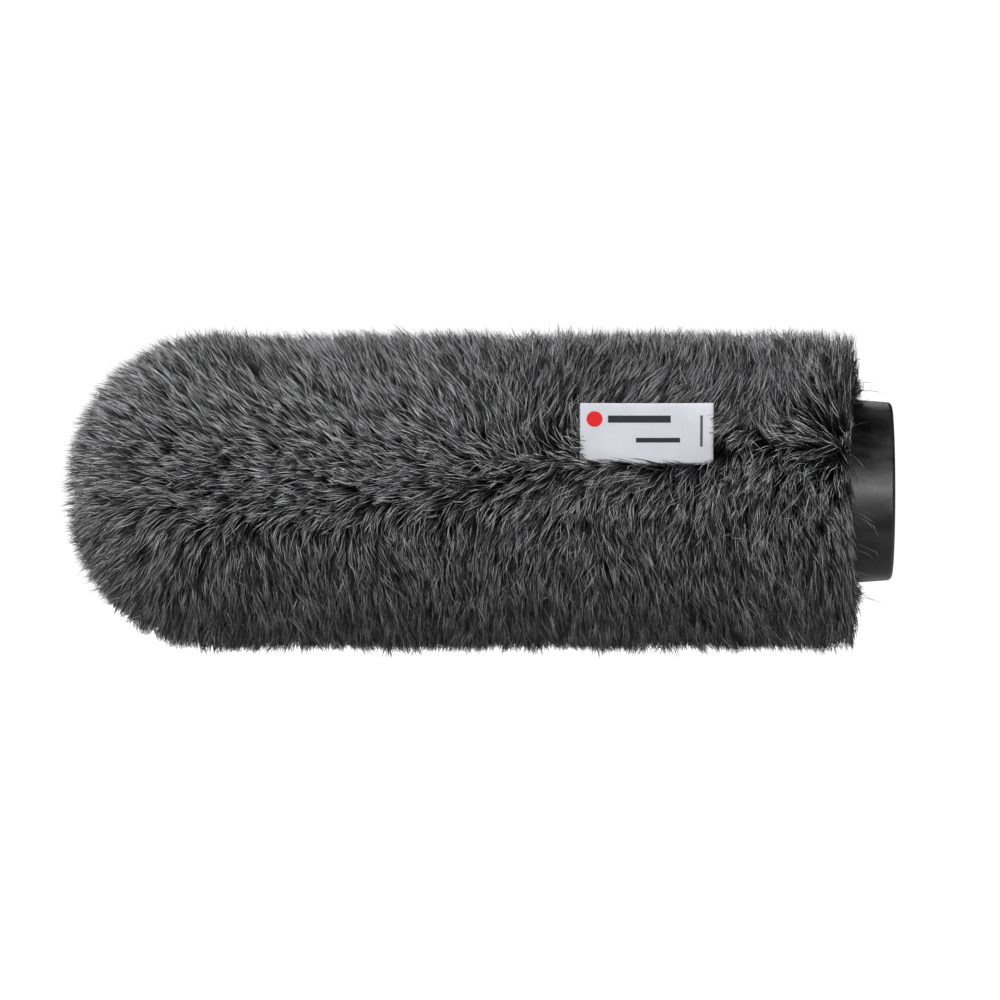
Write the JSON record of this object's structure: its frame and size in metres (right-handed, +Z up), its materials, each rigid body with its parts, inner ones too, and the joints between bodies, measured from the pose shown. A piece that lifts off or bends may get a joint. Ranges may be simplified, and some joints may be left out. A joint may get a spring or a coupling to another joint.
{
  "type": "furry windscreen",
  "caption": "Slip-on long-pile fur windscreen for a shotgun microphone, with a foam core, a rubber grip collar and a side label.",
  "frame": {"origin": "centre of the microphone bore's mouth, in the plane of the collar's rear rim", "axes": "+X along the bore, from the nose to the rear, the way the microphone leaves; +Z up; the label is on the -Y side"},
  "size_m": [0.225, 0.086, 0.086],
  "materials": {
    "collar_rubber": "gloss moulded rubber",
    "bush_rubber": "matt soft rubber",
    "open_cell_foam": "open-cell foam",
    "knit_backing": "knitted base cloth",
    "fur_pile": "long silky synthetic pile",
    "sewing_thread": "twisted polyester thread",
    "hem_tape": "woven tape",
    "elastic_cord": "braided elastic",
    "label_cloth": "satin-woven label"
  },
  "bodies": {
    "cover": {"collar": "collar_rubber", "grip_bush": "bush_rubber", "foam_sleeve": "open_cell_foam", "nose_plug": "open_cell_foam", "upper_backing": "knit_backing", "lower_backing": "knit_backing", "upper_pile": "fur_pile", "lower_pile": "fur_pile", "near_seam_thread": "sewing_thread", "far_seam_thread": "sewing_thread", "nose_seam_thread": "sewing_thread", "hem_tape": "hem_tape", "hem_elastic": "elastic_cord", "hem_stitches": "sewing_thread", "label_tail": "label_cloth", "label_stitches": "sewing_thread"},
    "label": {"label_flag": "label_cloth"}
  },
  "joints": [
    {"name": "label_fold", "type": "hinge", "parent": "cover", "child": "label", "pos_m": [-0.0675, -0.03165, 0.0075], "axis": [1, 0, 0], "range_deg": [0, 60], "stiffness_Nm_per_rad": 0.0005, "springref_deg": -17.19}
  ]
}
